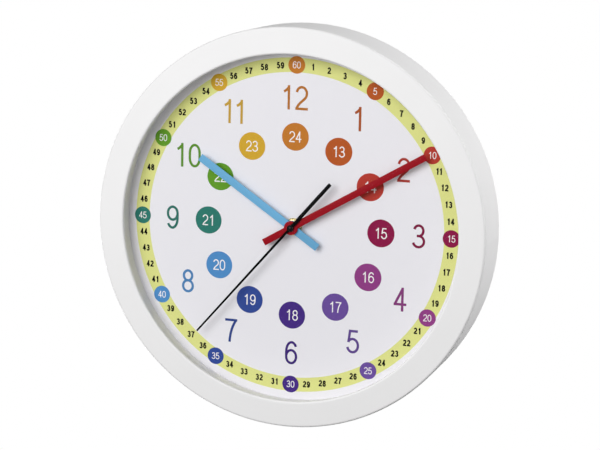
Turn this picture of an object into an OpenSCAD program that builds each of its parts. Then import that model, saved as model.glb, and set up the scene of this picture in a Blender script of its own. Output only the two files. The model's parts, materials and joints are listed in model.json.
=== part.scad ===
// Time teaching wall clock: moulded case, clear window, flat dial, three hands and a quartz movement.
// Built face up around the hand shaft (x right, y up, z out of the dial), then stood on the wall.

/* [Case] */
// Outside diameter of the case
case_d = 300; // [270:1:340]
// Width of the sloped bezel seen from the front
bezel_w = 20; // [18:0.1:26]
// Height of the bezel's inner lip in front of the dial
lip_h = 17.4; // [16.4:0.1:22]
// Height of the bezel's outer edge in front of the dial
rim_h = 15.6; // [12:0.1:16]
// Depth of the case behind the dial, back to the wall
back_depth = 29; // [26:0.5:40]
// Wall thickness of the skirt
skirt_t = 2.6; // [1.8:0.1:3.2]
// Thickness of the sloped bezel face
bezel_t = 2.4; // [1.8:0.1:3]
// Thickness of the wall around the dial recess
recess_t = 2.6; // [1.8:0.1:3]
// How far the lip reaches in over the window
lip_reach = 2.3; // [1.5:0.1:3]
// Radius of the bezel's outer edge
rim_fillet = 2; // [1:0.1:5]
// Radius of the lip's inner edge
lip_fillet = 1.5; // [0.4:0.1:1.5]
// How much smaller the skirt is in radius at the wall than at the bezel
skirt_draft = 0.5; // [0:0.1:1]

/* [Window and dial] */
// Thickness of the clear window
window_t = 2; // [1.5:0.1:2.4]
// Height of the window's front face over the dial
window_h = 14; // [13.8:0.1:14.4]
// Thickness of the dial
dial_t = 0.8; // [0.5:0.1:1.5]

/* [Rear cover] */
// Thickness of the rear cover
cover_t = 2.2; // [1.6:0.1:3]
// Thickness of the well floor that carries the movement
floor_t = 2.2; // [1.6:0.1:3]
// Room around the movement in its well
well_gap = 3; // [2:0.1:8]
// Thickness of the rib ring that presses on the dial
rib_t = 2; // [1.5:0.1:2.5]
// Number of case screws
screw_count = 6; // [3:1:10]
// Diameter of the case screws' thread
screw_d = 2.9; // [2.5:0.1:3.2]
// Diameter of the case screws' head
screw_head_d = 5.6; // [5:0.1:6]
// Length of the case screws under the head
screw_l = 9.5; // [8:0.5:12]

/* [Hanger] */
// Diameter of the keyhole's round end
keyhole_d = 10; // [8:0.1:12]
// Width of the keyhole's slot
keyhole_slot_w = 5; // [3.5:0.1:5.5]
// Length of the slot, from the round end's centre to the slot's end
keyhole_slot_l = 10; // [8:0.1:14]
// Thickness of the cover around the keyhole
keyhole_t = 3.2; // [3:0.1:5]
// Distance from the rib ring down to the keyhole's centre
keyhole_drop = 38; // [24:1:50]

/* [Hands] */
// Angle of the hour hand, clockwise from twelve
hour_angle = 303.6; // [0:0.1:360]
// Angle of the minute hand, clockwise from twelve
minute_angle = 59.5; // [0:0.1:360]
// Angle of the second hand, clockwise from twelve
second_angle = 220.8; // [0:0.1:360]
// Gap from the hour hand's tip to the recess wall
hour_tip_gap = 44.9; // [30:0.1:60]
// Gap from the minute hand's tip to the recess wall
minute_tip_gap = 14.6; // [6:0.1:30]
// Gap from the second hand's tip to the recess wall
second_tip_gap = 20.9; // [6:0.1:30]
// Length of the hour hand's tail
hour_tail = 24.5; // [12:0.5:40]
// Length of the minute hand's tail
minute_tail = 24.5; // [12:0.5:40]
// Length of the second hand's tail
second_tail = 46.5; // [20:0.5:60]
// Width of the hour hand
hour_w = 5.9; // [4:0.1:8]
// Width of the minute hand
minute_w = 5.1; // [3:0.1:8]
// Width of the second hand's needle at the hub
needle_w = 1.9; // [1:0.1:2]
// Width of the second hand's needle at the tip
needle_tip_w = 1.4; // [0.6:0.1:1.4]
// Width of the second hand's tail
second_tail_w = 2.8; // [1.5:0.1:4]
// Thickness of the hour and minute hands
hand_t = 0.5; // [0.3:0.05:0.6]
// Thickness of the second hand
second_t = 0.4; // [0.3:0.05:0.6]
// Diameter of the hour and minute hands' round bosses
boss_d = 10.6; // [8:0.1:14]
// Diameter of the domed cap on the second hand
cap_d = 5; // [4:0.1:6]

/* [Shaft fixing] */
// Diameter of the threaded bushing
bush_d = 8; // [7.6:0.1:9]
// Height of the bushing's end in front of the dial
bush_h = 4.3; // [3.4:0.1:4.5]
// Width across the flats of the fixing nut
nut_w = 10.6; // [10.6:0.1:14]
// Thickness of the fixing nut
nut_t = 2; // [1.5:0.1:2.6]
// Diameter of the brass washer
washer_d = 13; // [13:0.1:18]
// Thickness of the brass washer
washer_t = 0.5; // [0.3:0.1:0.8]
// Diameter of the rubber washer behind the well floor
pad_d = 18; // [15:0.1:24]
// Thickness of the rubber washer
pad_t = 0.8; // [0.5:0.1:1.5]

/* [Movement] */
// Height of the movement above the hand shaft
movement_top = 28; // [27:0.5:32]
// Thickness of the movement's front wall
front_wall = 1.6; // [1.4:0.1:2]
// Thickness of the movement's back wall
back_wall = 1.4; // [1:0.1:2]
// Thickness of the movement's side walls
side_wall = 1.2; // [1:0.1:1.6]
// Depth at which the front and back housings meet
split_depth = 8; // [6:0.1:10]
// Diameter of the setting knob
knob_d = 9; // [7:0.1:11]
// Height of the setting knob
knob_t = 2.6; // [2:0.1:3]

/* [Gear train] */
// Module of the hour wheel's teeth
gear_module = 0.4; // [0.38:0.01:0.44]
// Module of the rotor pinion's teeth
rotor_module = 0.3; // [0.28:0.01:0.32]
// Thickness of the wheels
wheel_t = 0.6; // [0.5:0.05:0.7]
// Free depth between wheels of neighbouring layers
layer_gap = 0.35; // [0.3:0.05:0.45]
// Diameter of the second arbor
second_arbor_d = 0.9; // [0.8:0.05:1]
// Outside diameter of the minute pipe
minute_pipe_d = 3; // [2.8:0.1:3.2]
// Outside diameter of the hour pipe
hour_pipe_d = 5; // [4.8:0.1:5.2]
// Diameter of the wheels' pivots
pivot_d = 1; // [0.8:0.05:1.1]

/* [Motor and circuit] */
// Diameter of the rotor magnet
magnet_d = 6; // [5:0.1:7]
// Thickness of the rotor magnet
magnet_t = 1.2; // [1:0.1:1.5]
// Thickness of the stator and the coil core
stator_t = 0.8; // [0.6:0.1:1]
// Diameter of the coil bobbin's flanges
bobbin_d = 7.8; // [6:0.1:8]
// Thickness of the circuit board
board_t = 1; // [0.6:0.1:1.2]
// Diameter of the quartz crystal's can
crystal_d = 2; // [1.5:0.1:3]
// Length of the quartz crystal's can
crystal_l = 6; // [5:0.1:8]

/* [Battery] */
// Diameter of the cell
battery_d = 14.3; // [13.5:0.1:15]
// Length of the cell with its terminal
battery_l = 50.5; // [49:0.1:52]
// Height of the cell's positive terminal
terminal_h = 1.3; // [1:0.1:1.6]
// Diameter of the cell's positive terminal
terminal_d = 5.5; // [4.5:0.1:6]

/* [Fits] */
// Radial running clearance of a pivot or pipe
run_gap = 0.05; // [0.02:0.01:0.08]
// Clearance between the moulded pieces
mould_gap = 0.3; // [0.2:0.05:0.5]
// Free height between the hands, and around the cell
free_gap = 0.3; // [0.25:0.05:0.4]

/* [Hidden] */
$fn = 120;
small_fn = 48;
// How far a cut runs past the face it opens, and a piece into the one it joins
past = 1;

// Colours
white = [0.95, 0.95, 0.94];
housing_black = [0.12, 0.12, 0.13];
wheel_white = [0.9, 0.89, 0.84];
brass = [0.8, 0.65, 0.32];
steel = [0.7, 0.71, 0.73];

// Case profile, as radii and heights over the dial
case_r = case_d / 2;
back_r = case_r - skirt_draft;
opening_r = case_r - bezel_w;
recess_r = opening_r + lip_reach;
bezel_slope = atan((lip_h - rim_h) / bezel_w);
rim_arc_h = face_h(case_r - rim_fillet) - rim_fillet / cos(bezel_slope);
lip_arc_h = face_h(opening_r + lip_fillet) - lip_fillet / cos(bezel_slope);
arc_steps = 10;

// Bosses of the front case and the posts of the rear cover that meet them
boss_circle_r = (recess_r + recess_t + case_r - skirt_t) / 2;
screw_boss_r = 3.6;
screw_boss_h = -2;
thread_grip = 0.25;
screw_pilot_r = screw_d / 2 - thread_grip;
boss_rib_t = 1.5;
boss_rib_h = 3;
head_well_gap = 0.5;
post_wall = 1.2;
head_well_r = screw_head_d / 2 + head_well_gap;
post_r = head_well_r + post_wall;
post_floor_t = 2.4;
screw_head_t = 2;
screw_end_room = 1.5;
screw_slot_l = 3.4;
screw_slot_w = 0.7;

// Rear cover
cover_r = back_r - skirt_t - mould_gap;
rib_inset = 0.7;
rib_r = recess_r + rib_inset;
dial_edge_gap = 0.6;
dial_r = boss_circle_r - screw_boss_r - dial_edge_gap;
dial_key_w = 4;
dial_key_reach = 1.2;
dial_key_l = 6;
well_wall = 2;
well_corner_r = 4;
stop_l = 10;
stop_t = 2;
stop_h = 2.5;
keyhole_pad_r = keyhole_d / 2 + keyhole_slot_l;
hang_drop = rib_r - keyhole_drop;

// Stack behind the dial
floor_h = -dial_t - floor_t;
movement_h = floor_h - pad_t;

// Hands, as heights over the dial
hole_gap = 0.2;
hub_lift = 0.4;
hour_h = bush_h + free_gap + hub_lift;
hour_pipe_h = hour_h + hand_t + hub_lift;
minute_h = hour_pipe_h + free_gap + hub_lift;
minute_pipe_h = minute_h + hand_t + hub_lift;
cap_tube_h = minute_pipe_h + free_gap;
cap_tube_wall = 0.7;
cap_tube_r = second_arbor_d / 2 + cap_tube_wall;
cap_tube_l = 0.5;
second_h = cap_tube_h + cap_tube_l;
cap_dome_h = 1.1;
hub_edge = 0.1;
second_hub_r = cap_d / 2 + hub_edge;
hour_l = recess_r - hour_tip_gap;
minute_l = recess_r - minute_tip_gap;
second_l = recess_r - second_tip_gap;

// Teeth and ratios
rotor_n = 8;
intermediate_n = 48;
intermediate_pinion_n = 12;
second_n = 60;
second_pinion_n = 8;
third_n = 60;
third_pinion_n = 8;
centre_n = 64;
cannon_n = 12;
minute_n = 36;
minute_pinion_n = 12;
hour_n = 48;
setting_n = 12;
knurl_n = 24;
flute_share = 1.4;
tooth_depth = 1.2;
wheel_tooth = [0.42, 0.85, 0.4];
pinion_tooth = [0.40, 0.75, 0.45];

// Radii and distances of the train
pivot_r = pivot_d / 2;
pivot_side_gap = 0.55;
hour_tip_r = (hour_n / 2 + wheel_tooth[1]) * gear_module;
motion_a = (hour_n + minute_pinion_n) / 2 * gear_module;
cannon_module = 2 * motion_a / (cannon_n + minute_n);
third_a = hour_tip_r + pivot_side_gap + pivot_r;
centre_module = 2 * third_a / (third_pinion_n + centre_n);
third_module = 2 * third_a / (second_pinion_n + third_n);
centre_tip_r = (centre_n / 2 + wheel_tooth[1]) * centre_module;
intermediate_a = max(hour_tip_r, centre_tip_r) + pivot_side_gap + pivot_r;
second_module = 2 * intermediate_a / (intermediate_pinion_n + second_n);
rotor_a = (rotor_n + intermediate_n) / 2 * rotor_module;
setting_a = (minute_n + setting_n) / 2 * cannon_module;

// Directions from axis to axis, and the axes themselves
minute_dir = 150;
setting_dir = 120;
third_dir = 75;
intermediate_dir = 5;
rotor_dir = 45;
minute_axis = polar(motion_a, minute_dir);
setting_axis = minute_axis + polar(setting_a, setting_dir);
third_axis = polar(third_a, third_dir);
intermediate_axis = polar(intermediate_a, intermediate_dir);
rotor_axis = intermediate_axis + polar(rotor_a, rotor_dir);

// Phases of the teeth, so that each pair is in mesh at rest
setting_phase = mesh_phase(minute_n, 180 + minute_dir + 180 / minute_n, setting_n, setting_dir);

// Depths behind the movement's front face
pivot_depth = 0.9;
hour_d = front_wall + free_gap;
motion_d = hour_d + wheel_t + layer_gap;
spring_d = motion_d + wheel_t;
spring_t = 0.25;
centre_d = spring_d + spring_t + run_gap;
pipe_end_d = centre_d + wheel_t + run_gap;
pipe_rivet_t = 0.3;
pipe_step = 0.3;
pipe_tail_r = minute_pipe_d / 2 - pipe_step;
pipe_rivet_w = 0.2;
pipe_rivet_r = minute_pipe_d / 2 + pipe_rivet_w;
spring_lobe_r = 0.9;
spring_w = 0.6;
spring_r = minute_pipe_d / 2 + spring_w;
stem_grow = 0.4;
setting_grow = 0.7;
third_d = pipe_end_d + pipe_rivet_t + layer_gap;
second_d = third_d + wheel_t + layer_gap;
intermediate_d = second_d + wheel_t + layer_gap;
magnet_d0 = intermediate_d + wheel_t + layer_gap;
plate_d = magnet_d0 + magnet_t + layer_gap;
plate_t = 1.2;
stator_d = plate_d - stator_t;
pinion_extra = 0.1;
battery_depth = front_wall + free_gap + battery_d / 2;
bobbin_r = bobbin_d / 2;
coil_d = plate_d + stator_t / 2;
movement_depth = max(battery_depth + battery_d / 2 + free_gap,
    coil_d + bobbin_r + free_gap + back_wall);

// Motor
stator_rim_w = 1.7;
rotor_air_gap = 0.5;
rotor_hole_r = magnet_d / 2 + rotor_air_gap;
stator_ring_r = rotor_hole_r + stator_rim_w;
stator_leg_x = 7.5;
stator_leg_w = 3;
stator_half_w = stator_leg_x + stator_leg_w / 2;
stator_bar_w = 4;
stator_peg_r = 0.6;
coil_top_gap = 1.5;
coil_y = movement_top - side_wall - bobbin_r - coil_top_gap;
core_w = 3;
bobbin_half_l = stator_leg_x - stator_leg_w / 2 - free_gap;
flange_t = 0.6;
bobbin_wall = 0.6;
winding_edge = 0.4;
winding_r = bobbin_r - winding_edge;
magnet_bore_r = 0.9;

// Movement outline
contact_t = 0.4;
contact_spring_h = 1.6;
partition_t = 1;
cell_ends = 2 * (contact_t + free_gap);
cell_half_w = (battery_l + contact_spring_h + cell_ends) / 2;
train_half_w = rotor_axis[0] + stator_half_w + mould_gap;
inner_x = max(cell_half_w, train_half_w);
movement_w = 2 * (inner_x + side_wall);
cell_spring_h = 2 * inner_x - battery_l - cell_ends;
bay_top = -max(hour_tip_r, centre_tip_r) - pivot_side_gap - partition_t;
battery_y = bay_top - free_gap - battery_d / 2;
movement_bottom = battery_y - battery_d / 2 - free_gap - side_wall;
housing_corner_r = 2.5;
battery_x = -inner_x + contact_t + cell_spring_h + free_gap;
clip_w = 8;
clip_t = 0.8;
clip_l = 2.5;
clip_left_y = 16.5;
clip_right_y = 0;
finger_cut_r = 8;

// Bushing
bush_r = bush_d / 2;
bush_bore_r = hour_pipe_d / 2 + run_gap;
bush_press_w = 0.6;
bush_collar_w = 2;
bush_press_r = bush_r + bush_press_w;
bush_collar_r = bush_r + bush_collar_w;
bush_collar_t = 0.8;

// Pillars that carry the bearing plate
pillar_r = 1.4;
peg_r = 0.7;
peg_l = 0.6;
pillar_gap = 0.4;
pillar_low_y = bay_top + partition_t + pillar_r + pillar_gap;
pillar_high_dir = 83;
pillar_motor_dir = 109;
pillar_motor_gap = 1.1;
pillar_motor_a = stator_ring_r + pillar_motor_gap + pillar_r;
pillar_left = 1;
pillar_right = 3;
pillars = [[minute_axis[0] - pillar_left, pillar_low_y],
    [rotor_axis[0] + pillar_right, pillar_low_y],
    minute_axis + polar(motion_a, pillar_high_dir),
    rotor_axis + polar(pillar_motor_a, pillar_motor_dir)];
plate_margin = 2.6;
plate_step_y = pillars[3][1] + pillar_r + pillar_gap;

// Circuit board
board_x0 = -inner_x + contact_t + mould_gap;
board_w = 10.5;
board_edge_gap = 1;
board_y0 = bay_top + partition_t + board_edge_gap;
board_l = 20;
board_lift = 1;
board_d = plate_d - board_lift;
board_peg_edge = 3.2;
board_peg_side = 2.2;
board_peg_step = 2;
board_peg_x = board_x0 + board_peg_side;
board_peg_y = [board_y0 + board_peg_edge + board_peg_step, board_y0 + board_l - board_peg_edge];
chip_r = 2.6;
chip_h = 1;
chip_at = [6.6, 6];
chip_pos = [board_x0, board_y0] + chip_at;
crystal_at = [7, 11];
crystal_pos = [board_x0, board_y0] + crystal_at;
contact_foot_l = 3;
contact_foot_w = 3;
contact_end_w = 10;
contact_strip_w = 1.4;
contact_foot_back = 1;
cell_spring_r1 = terminal_d * 3 / 4;
contact_d0 = battery_depth - contact_end_w / 2;
contact_d1 = battery_depth + contact_end_w / 2;

function polar(r, a) = r * [cos(a), sin(a)];
function face_h(r) = lip_h - (r - opening_r) * tan(bezel_slope);
function arc(c, r, a0, a1) = [for (i = [0:arc_steps]) c + polar(r, a0 + (a1 - a0) * i / arc_steps)];

// Corner points of a gear: six to a tooth, with straight flanks below the pitch circle
function gear_points(n, m, phase, tooth) =
    let (half = 180 * tooth[0] / n, tip = tooth[2])
    [for (i = [0:n - 1], p = [[-1, -tooth_depth], [-1, 0], [-tip, tooth[1]],
                              [tip, tooth[1]], [1, 0], [1, -tooth_depth]])
        polar((n / 2 + p[1]) * m, phase + 360 * i / n + half * p[0])];

// Phase that puts gear b in mesh with gear a, which lies the other way along direction dir
function mesh_phase(na, phase_a, nb, dir) = dir + 180 - (0.5 - (dir - phase_a) * na / 360) * 360 / nb;

// Turns the clock from face up to upright, with the keyhole's centre on the wall at the origin
module upright() {
    translate([0, -back_depth, -hang_drop])
        rotate([90, 0, 0])
            children();
}

// Extrudes a flat shape between two heights over the dial
module between(h0, h1) {
    translate([0, 0, h0])
        linear_extrude(h1 - h0)
            children();
}

// Extrudes a flat shape between two depths behind the movement's front face
module slab(d0, d1) {
    between(movement_h - d1, movement_h - d0)
        children();
}

module disc(r, pos = [0, 0]) {
    translate(pos)
        circle(r, $fn = small_fn);
}

module ring(r_out, r_in) {
    difference() {
        disc(r_out);
        disc(r_in);
    }
}

// Rectangle from corner to corner
module rect(x0, y0, x1, y1) {
    translate([x0, y0])
        square([x1 - x0, y1 - y0]);
}

// The same with round corners
module round_rect(x0, y0, x1, y1, r) {
    rect(x0 + r, y0, x1 - r, y1);
    rect(x0, y0 + r, x1, y1 - r);
    for (x = [x0 + r, x1 - r], y = [y0 + r, y1 - r])
        disc(r, [x, y]);
}

module wheel_2d(n, m, phase) {
    polygon(gear_points(n, m, phase, wheel_tooth));
}

module pinion_2d(n, m, phase) {
    polygon(gear_points(n, m, phase, pinion_tooth));
}

module around_screws() {
    for (i = [0:screw_count - 1])
        rotate(360 * i / screw_count)
            translate([boss_circle_r, 0, 0])
                children();
}

function case_profile() = concat(
    [[back_r, -back_depth]],
    arc([case_r - rim_fillet, rim_arc_h], rim_fillet, 0, 90 - bezel_slope),
    arc([opening_r + lip_fillet, lip_arc_h], lip_fillet, 90 - bezel_slope, 180),
    [[opening_r, window_h],
     [recess_r, window_h],
     [recess_r, 0],
     [recess_r + recess_t, 0],
     [recess_r + recess_t, face_h(recess_r + recess_t) - bezel_t],
     [case_r - skirt_t, face_h(case_r - skirt_t) - bezel_t],
     [back_r - skirt_t, -back_depth]]);

// Bezel, skirt and recess wall in one moulding, with the bosses for the case screws
module front_case() {
    rib_top = face_h(case_r) - bezel_t / 2;
    color(white) upright() difference() {
        union() {
            rotate_extrude()
                polygon(case_profile());
            around_screws() {
                between(screw_boss_h, rib_top)
                    disc(screw_boss_r);
                between(boss_rib_h, rib_top)
                    rect(recess_r + recess_t / 2 - boss_circle_r, -boss_rib_t / 2,
                         case_r - skirt_t / 2 - boss_circle_r, boss_rib_t / 2);
            }
        }
        around_screws()
            between(screw_boss_h - past, screw_boss_h + screw_l - post_floor_t + screw_end_room)
                disc(screw_pilot_r);
    }
}

module window() {
    color([0.85, 0.9, 0.92, 0.3]) upright()
        between(window_h - window_t, window_h)
            circle(recess_r - mould_gap);
}

// Flat disc with the shaft hole and a notch for the key on the rear cover
module dial() {
    notch_r = rib_r + rib_t - mould_gap;
    color([0.92, 0.92, 0.93]) upright()
        between(-dial_t, 0) difference() {
            circle(dial_r);
            disc(bush_r + hole_gap);
            rect(-dial_key_w / 2 - mould_gap, -dial_r - past, dial_key_w / 2 + mould_gap, -notch_r);
        }
}

module well_2d(grow) {
    room = well_gap + grow;
    round_rect(-movement_w / 2 - room, movement_bottom - room, movement_w / 2 + room, movement_top + room,
               well_corner_r + grow);
}

module keyhole_2d() {
    translate([0, hang_drop]) {
        disc(keyhole_d / 2);
        rect(-keyhole_slot_w / 2, 0, keyhole_slot_w / 2, keyhole_slot_l - keyhole_slot_w / 2);
        disc(keyhole_slot_w / 2, [0, keyhole_slot_l - keyhole_slot_w / 2]);
    }
}

// Stops on the well floor that keep the movement from turning
module movement_stops() {
    x = movement_w / 2 + mould_gap;
    between(floor_h - stop_h, floor_h)
        for (side = [-1, 1])
            scale([side, 1])
                rect(x, -stop_l / 2, x + stop_t, stop_l / 2);
}

// Cover that closes the case against the wall, with the well for the movement and the keyhole hanger
module rear_cover() {
    post_top = screw_boss_h;
    color(white) upright() {
        difference() {
            union() {
                between(-back_depth, cover_t - back_depth)
                    circle(cover_r);
                between(-back_depth, -dial_t) difference() {
                    circle(rib_r + rib_t);
                    circle(rib_r);
                }
                between(-dial_t - dial_key_l, 0)
                    rect(-dial_key_w / 2, -rib_r - rib_t - dial_key_reach, dial_key_w / 2, -rib_r - rib_t);
                between(-dial_t - dial_key_l, -dial_t)
                    rect(-dial_key_w / 2, -rib_r - rib_t, dial_key_w / 2, -rib_r - rib_t / 2);
                between(-back_depth, -dial_t)
                    well_2d(well_wall);
                between(-back_depth, keyhole_t - back_depth)
                    disc(keyhole_pad_r, [0, hang_drop]);
                around_screws()
                    between(-back_depth, post_top)
                        disc(post_r);
            }
            between(-back_depth - past, floor_h)
                well_2d(0);
            between(floor_h - past, 0)
                disc(bush_r + hole_gap);
            between(-back_depth - past, keyhole_t - back_depth + past)
                keyhole_2d();
            around_screws() {
                between(-back_depth - past, post_top - post_floor_t)
                    disc(head_well_r);
                between(post_top - post_floor_t - past, post_top + past)
                    disc(screw_d / 2 + hole_gap);
            }
        }
        movement_stops();
    }
}

// Self-tapping screws with a cross slot, heads towards the wall
module case_screws() {
    seat_h = screw_boss_h - post_floor_t;
    color(steel) upright() around_screws() {
        difference() {
            between(seat_h - screw_head_t, seat_h)
                disc(screw_head_d / 2);
            between(seat_h - screw_head_t - past, seat_h - screw_head_t / 2)
                for (a = [0, 90])
                    rotate(a)
                        square([screw_slot_l, screw_slot_w], center = true);
        }
        between(seat_h, seat_h + screw_l)
            disc(screw_pilot_r);
    }
}

// Straight bar from the tail's end to the tip, pointing to twelve
module bar_2d(length, tail, width) {
    rect(-width / 2, -tail, width / 2, length);
}

// Blade with a round boss that is a press fit on its pipe
module pipe_hand(angle, h, length, tail, width, pipe_d) {
    rotate(-angle) difference() {
        union() {
            between(h, h + hand_t)
                bar_2d(length, tail, width);
            between(h - hub_lift, h + hand_t + hub_lift / 2)
                disc(boss_d / 2);
        }
        between(h - hub_lift - past, h + hand_t + hub_lift + past)
            disc(pipe_d / 2);
    }
}

module hour_hand() {
    color([0.42, 0.64, 0.8]) upright()
        pipe_hand(hour_angle, hour_h, hour_l, hour_tail, hour_w, hour_pipe_d);
}

module minute_hand() {
    color([0.6, 0.15, 0.18]) upright()
        pipe_hand(minute_angle, minute_h, minute_l, minute_tail, minute_w, minute_pipe_d);
}

module second_hand() {
    color([0.06, 0.06, 0.07]) upright() rotate(-second_angle)
        between(second_h, second_h + second_t) difference() {
            union() {
                polygon([[-needle_w / 2, 0], [needle_w / 2, 0],
                         [needle_tip_w / 2, second_l], [-needle_tip_w / 2, second_l]]);
                rect(-second_tail_w / 2, -second_tail, second_tail_w / 2, 0);
                disc(second_hub_r);
            }
            disc(cap_tube_r);
        }
}

// Tube that is a press fit on the second arbor, with a domed head over the hand's hub
module second_hand_cap() {
    dome_r = (pow(cap_d / 2, 2) + pow(cap_dome_h, 2)) / (2 * cap_dome_h);
    dome_base = second_h + second_t;
    edge_a = asin((dome_r - cap_dome_h) / dome_r);
    bore_r = second_arbor_d / 2;
    bore_end = dome_base + cap_dome_h / 2;
    color([0.06, 0.06, 0.07]) upright()
        rotate_extrude($fn = small_fn)
            polygon(concat(
                [[bore_r, cap_tube_h], [cap_tube_r, cap_tube_h], [cap_tube_r, dome_base]],
                arc([0, dome_base + cap_dome_h - dome_r], dome_r, edge_a, 90),
                [[0, bore_end], [bore_r, bore_end]]));
}

module fixing_nut() {
    color(brass) upright()
        between(washer_t, washer_t + nut_t) difference() {
            circle(nut_w / 2 / cos(30), $fn = 6);
            disc(bush_r);
        }
}

module brass_washer() {
    color(brass) upright()
        between(0, washer_t)
            ring(washer_d / 2, bush_r + hole_gap);
}

module rubber_washer() {
    color([0.1, 0.1, 0.1]) upright()
        between(movement_h, floor_h)
            ring(pad_d / 2, bush_r + hole_gap);
}

// Threaded tube with a collar, pressed into the movement's front wall
module threaded_bushing() {
    color(brass) upright() {
        between(movement_h, bush_h)
            ring(bush_r, bush_bore_r);
        slab(0, bush_collar_t)
            ring(bush_collar_r, bush_bore_r);
        slab(bush_collar_t, front_wall)
            ring(bush_press_r, bush_bore_r);
    }
}

module housing_2d(inset) {
    round_rect(inset - movement_w / 2, movement_bottom + inset, movement_w / 2 - inset, movement_top - inset,
               housing_corner_r - inset);
}

module housing_walls(d0, d1) {
    end_gap = contact_t + mould_gap;
    slab(d0, d1) {
        difference() {
            housing_2d(0);
            housing_2d(side_wall);
        }
        rect(end_gap - inner_x, bay_top, inner_x - end_gap, bay_top + partition_t);
    }
}

// Front housing: front wall, half of the side walls, pillars for the plate and the board
module movement_front() {
    color(housing_black) upright() difference() {
        union() {
            slab(0, front_wall)
                housing_2d(0);
            housing_walls(front_wall, split_depth);
            for (p = pillars) {
                slab(front_wall, plate_d)
                    disc(pillar_r, p);
                slab(plate_d, plate_d + plate_t + peg_l)
                    disc(peg_r, p);
            }
            for (y = board_peg_y) {
                slab(front_wall, board_d)
                    disc(pillar_r, [board_peg_x, y]);
                slab(board_d, board_d + board_t + peg_l)
                    disc(peg_r, [board_peg_x, y]);
            }
        }
        slab(-past, bush_collar_t)
            disc(bush_collar_r);
        slab(0, front_wall + past)
            disc(bush_press_r);
        for (p = [minute_axis, setting_axis, third_axis, intermediate_axis, rotor_axis])
            slab(front_wall - pivot_depth, front_wall + past)
                disc(pivot_r + run_gap, p);
    }
}

// Tongue that grips the inside of the front housing's wall; the wall runs along x at y
module clip(y) {
    slab(split_depth - clip_l, split_depth + clip_l)
        rect(-clip_w / 2, y - clip_t - run_gap, clip_w / 2, y - run_gap);
    slab(split_depth, split_depth + clip_l)
        rect(-clip_w / 2, y - clip_t, clip_w / 2, y + side_wall / 2);
}

// Back housing: the other half of the side walls, the back wall and the open battery bay
module movement_back() {
    back_d = movement_depth - back_wall;
    color(housing_black) upright() {
        difference() {
            union() {
                housing_walls(split_depth, movement_depth);
                slab(back_d, movement_depth) intersection() {
                    housing_2d(0);
                    rect(-movement_w, bay_top, movement_w, movement_top + past);
                }
            }
            slab(back_d - past, movement_depth + past)
                disc(pivot_r + setting_grow + run_gap, setting_axis);
            translate([0, movement_bottom + side_wall + past, movement_h - movement_depth])
                rotate([90, 0, 0])
                    cylinder(r = finger_cut_r, h = side_wall + 2 * past, $fn = small_fn);
        }
        clip(movement_top - side_wall);
        rotate(90)
            translate([clip_left_y, 0, 0])
                clip(inner_x);
        rotate(-90)
            translate([-clip_right_y, 0, 0])
                clip(inner_x);
    }
}

// Plate behind the wheels with the rear bearing holes and two pegs for the stator
module bearing_plate() {
    ear = pillars[2];
    color(housing_black) upright() {
        slab(plate_d, plate_d + plate_t) difference() {
            union() {
                rect(minute_axis[0] - plate_margin, pillars[0][1] - pillar_r,
                     rotor_axis[0] + stator_leg_x + stator_leg_w / 3, plate_step_y);
                rect(ear[0] - plate_margin, plate_step_y - past,
                     ear[0] + plate_margin, ear[1] + plate_margin);
            }
            for (p = pillars)
                disc(peg_r + run_gap, p);
            for (p = [minute_axis, third_axis, intermediate_axis, rotor_axis])
                disc(pivot_r + run_gap, p);
            disc(second_arbor_d / 2 + run_gap);
        }
        for (side = [-1, 1])
            slab(stator_d, plate_d)
                disc(stator_peg_r, rotor_axis + [side * stator_leg_x, 0]);
    }
}

// Stem with a pivot at each end, from the front wall to the bearing plate
module stem(axis, grow, d0, d1) {
    slab(front_wall - pivot_depth + run_gap, plate_d + plate_t)
        disc(pivot_r, axis);
    slab(d0, d1)
        disc(pivot_r + grow, axis);
}

module hour_wheel() {
    phase = minute_dir;
    color(wheel_white) upright() difference() {
        union() {
            slab(hour_d, hour_d + wheel_t)
                wheel_2d(hour_n, gear_module, phase);
            between(movement_h - hour_d, hour_pipe_h)
                disc(hour_pipe_d / 2);
        }
        between(movement_h - hour_d - wheel_t - past, hour_pipe_h + past)
            disc(minute_pipe_d / 2 + run_gap);
    }
}

// Minute hand's pipe with the cannon pinion, and the riveted end that holds the centre wheel
module minute_pipe() {
    color(brass) upright() difference() {
        union() {
            between(movement_h - motion_d, minute_pipe_h)
                disc(minute_pipe_d / 2);
            slab(motion_d, motion_d + wheel_t)
                pinion_2d(cannon_n, cannon_module, minute_dir);
            slab(spring_d, pipe_end_d)
                disc(pipe_tail_r);
            slab(pipe_end_d, pipe_end_d + pipe_rivet_t)
                disc(pipe_rivet_r);
        }
        between(movement_h - pipe_end_d - pipe_rivet_t - past, minute_pipe_h + past)
            disc(second_arbor_d / 2 + run_gap);
    }
}

// Three-lobed spring washer that presses the centre wheel against the rivet
module clutch_spring() {
    color(steel) upright()
        slab(spring_d, spring_d + spring_t) difference() {
            union() {
                disc(spring_r);
                for (a = [0, 120, 240])
                    disc(spring_lobe_r, polar(spring_r, a));
            }
            disc(pipe_tail_r);
        }
}

module minute_wheel() {
    color(wheel_white) upright() {
        translate(minute_axis) {
            slab(motion_d, motion_d + wheel_t)
                wheel_2d(minute_n, cannon_module, 180 + minute_dir + 180 / minute_n);
            slab(hour_d - pinion_extra, motion_d)
                pinion_2d(minute_pinion_n, gear_module, 180 + minute_dir + 180 / minute_pinion_n);
        }
        stem(minute_axis, stem_grow, motion_d, plate_d - free_gap);
    }
}

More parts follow.
